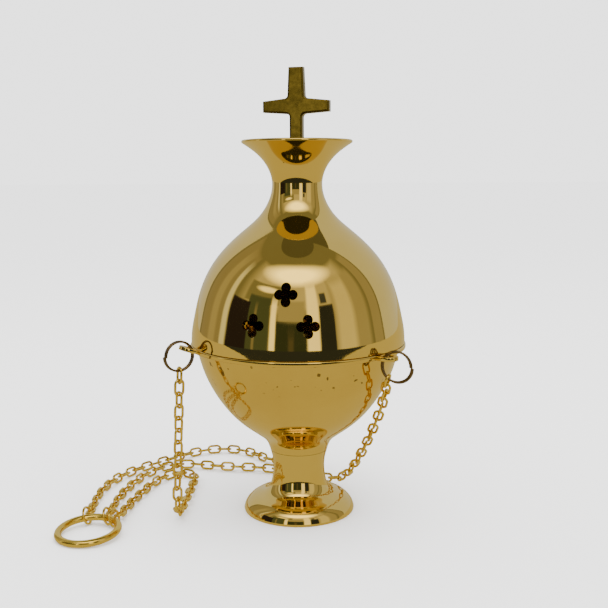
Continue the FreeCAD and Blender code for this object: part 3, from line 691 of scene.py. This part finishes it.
def lug_outlines():
    """The tongue's rim, with a round tip, and its hole."""
    rim = [(LUG_BACK, -LUG_HALF_WIDTH), (LUG_STRAIGHT, -LUG_HALF_WIDTH)]
    tip_middle = LUG_TIP - TIP_RADIUS * math.cos(TIP_ANGLE)
    for step in range(1, TIP_STEPS):
        angle = -TIP_ANGLE + 2 * TIP_ANGLE * step / TIP_STEPS
        rim.append((tip_middle + TIP_RADIUS * math.cos(angle), TIP_RADIUS * math.sin(angle)))
    rim += [(LUG_STRAIGHT, LUG_HALF_WIDTH), (LUG_BACK, LUG_HALF_WIDTH)]
    hole = []
    for step in range(HOLE_STEPS):
        angle = 2 * math.pi * step / HOLE_STEPS
        hole.append((HOLE_AWAY + HOLE_RADIUS * math.cos(angle), HOLE_RADIUS * math.sin(angle)))
    return rim, hole


def make_lug(side, toward, tilt):
    """A flat tongue with a hole, its edges eased, that runs out of the flange."""
    work = bmesh.new()
    loops = [[work.verts.new((x, y, 0)) for x, y in outline] for outline in lug_outlines()]
    edges = [work.edges.new(pair) for loop in loops for pair in zip(loop, loop[1:] + loop[:1])]
    bmesh.ops.triangle_fill(work, use_beauty=True, edges=edges)
    bmesh.ops.translate(work, verts=work.verts, vec=(0, 0, -LUG_THICKNESS / 2))
    grown = bmesh.ops.extrude_face_region(work, geom=list(work.faces))["geom"]
    top = [item for item in grown if isinstance(item, bmesh.types.BMVert)]
    bmesh.ops.translate(work, verts=top, vec=(0, 0, LUG_THICKNESS))
    bmesh.ops.recalc_face_normals(work, faces=work.faces)
    sharp = [edge for edge in work.edges if edge.calc_face_angle(0) > 1.0]
    bmesh.ops.bevel(work, geom=sharp, offset=LUG_EASE, segments=3, affect="EDGES", profile=0.5)
    turn = Matrix.Rotation(math.radians(toward), 4, "Z")
    lean = Matrix.Rotation(math.radians(-tilt), 4, "Y")
    place = Matrix.Scale(MM, 4) @ Matrix.Translation(turn @ LUG_ROOT) @ turn @ lean
    bmesh.ops.transform(work, matrix=place, verts=work.verts)
    mesh = bpy.data.meshes.new("lug_" + side)
    work.to_mesh(mesh)
    work.free()
    lug = new_object("lug_" + side, mesh)
    mark_corners(mesh, 40)
    return lug


lid_shell = make_lid_shell()
dress(lid_shell, POLISHED)
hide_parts("lid_dome", "lid_chimney")
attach(lid_shell, "lid")
bowl_shell = make_bowl_shell()
dress(bowl_shell, SPUN)
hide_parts("bowl")
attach(bowl_shell, "root")
foot_shell = make_foot_shell()
dress(foot_shell, POLISHED)
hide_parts("foot")
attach(foot_shell, "root")
for name, (toward, tilt) in LUGS.items():
    lug = make_lug(name, toward, tilt)
    dress(lug, POLISHED)
    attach(lug, "root")


def carry_over(node_name, material):
    """Keep a CAD node's shape and give it a finish."""
    dress(frame["nodes"][node_name], material)


for name in ("end_loop_left", "end_loop_right", "end_loop_back", "hand_ring"):
    carry_over(name, CHAIN)
for name in ("foot_screw", "foot_washer", "foot_nut", "smoke_plate", "cross_nut", "cross"):
    carry_over(name, CAST)
carry_over("charcoal_cup", INSIDE)
carry_over("lid_locating_ring", POLISHED)


# ---- floor, light and what the polished metal mirrors ----

def floor_material():
    material = bpy.data.materials.new("paper")
    material.use_nodes = True
    shader = material.node_tree.nodes["Principled BSDF"]
    shader.inputs["Base Color"].default_value = (0.96, 0.96, 0.96, 1)
    shader.inputs["Roughness"].default_value = 1.0
    shader.inputs["Specular IOR Level"].default_value = 0.0
    return material


FLOOR_HALF = 40.0


def make_floor():
    half = FLOOR_HALF
    corners = [(-half, -half, 0), (half, -half, 0), (half, half, 0), (-half, half, 0)]
    mesh = mesh_from("floor", corners, [(0, 1, 2, 3)], smooth=False)
    floor = new_object("floor", mesh)
    mesh.materials.append(floor_material())


make_floor()


def make_world():
    world = bpy.data.worlds.new("studio")
    SCENE.world = world
    world.use_nodes = True
    background = world.node_tree.nodes["Background"]
    background.inputs["Color"].default_value = (1.0, 1.0, 1.0, 1)
    background.inputs["Strength"].default_value = 2.6


make_world()


def only_mirrored(panel):
    """A studio panel outside the view: polished metal mirrors it, and it casts no light or shadow."""
    panel.visible_camera = False
    panel.visible_diffuse = False
    panel.visible_transmission = False
    panel.visible_shadow = False


def glow(name, colour, strength):
    """A glowing panel that fades out where its "fade" value falls to zero."""
    material = bpy.data.materials.new(name)
    material.use_nodes = True
    tree = material.node_tree
    tree.nodes.clear()
    emission = node(tree, "ShaderNodeEmission")
    emission.inputs["Color"].default_value = (*colour, 1)
    emission.inputs["Strength"].default_value = strength
    shown = node(tree, "ShaderNodeMixShader")
    link(tree, node(tree, "ShaderNodeAttribute", attribute_name="fade").outputs["Fac"], shown.inputs[0])
    link(tree, node(tree, "ShaderNodeBsdfTransparent").outputs[0], shown.inputs[1])
    link(tree, emission.outputs[0], shown.inputs[2])
    link(tree, shown.outputs[0], node(tree, "ShaderNodeOutputMaterial").inputs["Surface"])
    return material


def set_fade(mesh, values):
    fade = mesh.attributes.new("fade", "FLOAT", "POINT")
    fade.data.foreach_set("value", values)


SURROUND_MIDDLE = Vector((0, 0, 0.08))
PANEL_COLUMNS = 40
PANEL_ROWS = 30


def from_edge(aside, above, oval, open_below):
    """How far inside a panel a place is, from 0 at its edge to 1 in its middle."""
    if oval:
        return 1 - math.hypot(aside, above)
    return 1 - max(aside, above, 0 if open_below else -above)


def panel(name, reach, turns, rises, colour, strength, soft=0.0, oval=False):
    """Part of a sphere: turns are degrees from the camera's side towards its right, and rises are
    degrees above the level. Soft is the share of it that its edges fade over; one that starts below
    the level has no lower edge to fade."""
    across, up = PANEL_COLUMNS, PANEL_ROWS
    points, fades = [], []
    for row in range(up + 1):
        rise = math.radians(rises[0] + (rises[1] - rises[0]) * row / up)
        for column in range(across + 1):
            turn = CAMERA_BEARING - 90 + turns[0] + (turns[1] - turns[0]) * column / across
            flat = bearing(turn) * math.cos(rise)
            points.append(SURROUND_MIDDLE + (flat + Vector((0, 0, math.sin(rise)))) * reach)
            aside, above = abs(2 * column / across - 1), 2 * row / up - 1
            inside = from_edge(aside, above, oval, rises[0] <= 0)
            fades.append(min(1.0, max(0.0, inside / soft)) if soft else 1.0)
    faces = []
    for row in range(up):
        for column in range(across):
            here = row * (across + 1) + column
            faces.append((here, here + 1, here + across + 2, here + across + 1))
    made = new_object(name, mesh_from(name, points, faces))
    set_fade(made.data, fades)
    made.data.materials.append(glow(name, colour, strength))
    only_mirrored(made)


def flat_panel(name, low, high, level, colour, strength):
    """A level panel just above the floor, between two corners."""
    corners = [(low[0], low[1], level), (high[0], low[1], level), (high[0], high[1], level),
               (low[0], high[1], level)]
    mesh = mesh_from(name, corners, [(0, 1, 2, 3)], smooth=False)
    made = new_object(name, mesh)
    set_fade(mesh, [1.0] * 4)
    mesh.materials.append(glow(name, colour, strength))
    only_mirrored(made)


PAPER = (1.0, 0.98, 0.84)
LAMP = (1.0, 0.90, 0.60)
WARM = (1.0, 0.90, 0.64)
OLIVE = (1.0, 0.95, 0.62)
GREEN = (0.80, 1.0, 0.72)
COOL = (0.75, 0.85, 1.0)
VIOLET = (0.90, 0.70, 1.0)
TABLE = (1.0, 0.87, 0.45)

# Light cards and dark cards that stand for what the polished metal mirrors in the photograph.
# Each has its reach, turns, rises, colour and strength; nearer ones cover the ones behind them.
panel("paper_round", 2.00, (-180, 180), (-4, 90), PAPER, 0.74)
panel("ceiling", 1.96, (-180, 180), (63, 90), OLIVE, 0.13)
panel("room_front", 1.94, (-129, 104), (-4, 76), OLIVE, 0.24)
panel("wall_left", 1.92, (-127, -84), (-4, 60), WARM, 0.34, 0.10)
panel("wall_left_strip", 1.90, (-112, -97), (-4, 58), WARM, 0.48, 0.5)
panel("wall_left_edge", 1.89, (-92, -82), (-4, 54), PAPER, 0.95, 0.5)
panel("front_high", 1.90, (-78, 84), (18, 62), WARM, 0.70, 0.25)
panel("front_right", 1.89, (38, 86), (-4, 50), WARM, 0.45, 0.20)
panel("wall_right", 1.88, (88, 102), (-4, 58), WARM, 0.40, 0.10)
panel("ceiling_light", 1.87, (-66, 62), (42, 69), LAMP, 3.2, 0.55, oval=True)
panel("window_right", 1.87, (41, 68), (-4, 50), LAMP, 0.85, 0.45)
panel("hanging_left", 1.86, (-68, -14), (24, 43), OLIVE, 0.26, 0.12)
panel("shade_left", 1.85, (-58, -20), (34, 41), LAMP, 1.9, 0.5, oval=True)
panel("figure_left", 1.84, (-60, -31), (-4, 31), GREEN, 0.11, 0.08)
panel("dark_left", 1.83, (-82, -56), (-4, 24), VIOLET, 0.030, 0.06)
panel("figure_left_strip", 1.82, (-50, -46), (-4, 26), WARM, 0.28, 0.6)
panel("gap_left", 1.84, (-31, -23), (-4, 34), LAMP, 1.8, 0.5)
panel("behind_middle", 1.85, (-24, 10), (10, 30), WARM, 0.48, 0.2)
panel("dark_middle", 1.83, (-24, 10), (-4, 16), GREEN, 0.055, 0.08)
panel("dark_middle_strip", 1.82, (-11, -3), (-4, 15), WARM, 0.11, 0.6)
panel("gap_middle", 1.84, (9, 25), (-4, 50), LAMP, 1.7, 0.35)
panel("dark_right", 1.83, (24, 41), (-4, 25), COOL, 0.045, 0.08)
panel("dark_right_neck", 1.83, (26, 35), (25, 36), COOL, 0.10, 0.3)
flat_panel("table_mirrored", (-2.5, -0.32), (2.5, 2.5), 0.00012, TABLE, 0.68)
flat_panel("beyond_table", (-2.5, -2.5), (2.5, -0.32), 0.00010, COOL, 0.05)


def soft_light(name, place, aim, size, power, colour):
    """A square area light that polished metal doesn't mirror."""
    data = bpy.data.lights.new(name, "AREA")
    data.shape = "SQUARE"
    data.size = size
    data.energy = power
    data.color = colour
    lamp = bpy.data.objects.new(name, data)
    SCENE.collection.objects.link(lamp)
    lamp.location = place
    lamp.rotation_mode = "QUATERNION"
    lamp.rotation_quaternion = (Vector(aim) - Vector(place)).to_track_quat("-Z", "Y")
    lamp.visible_glossy = False


soft_light("overhead", (0.1, -0.1, 0.9), (0, 0, 0.07), 0.7, 5.0, (1.0, 0.99, 0.97))
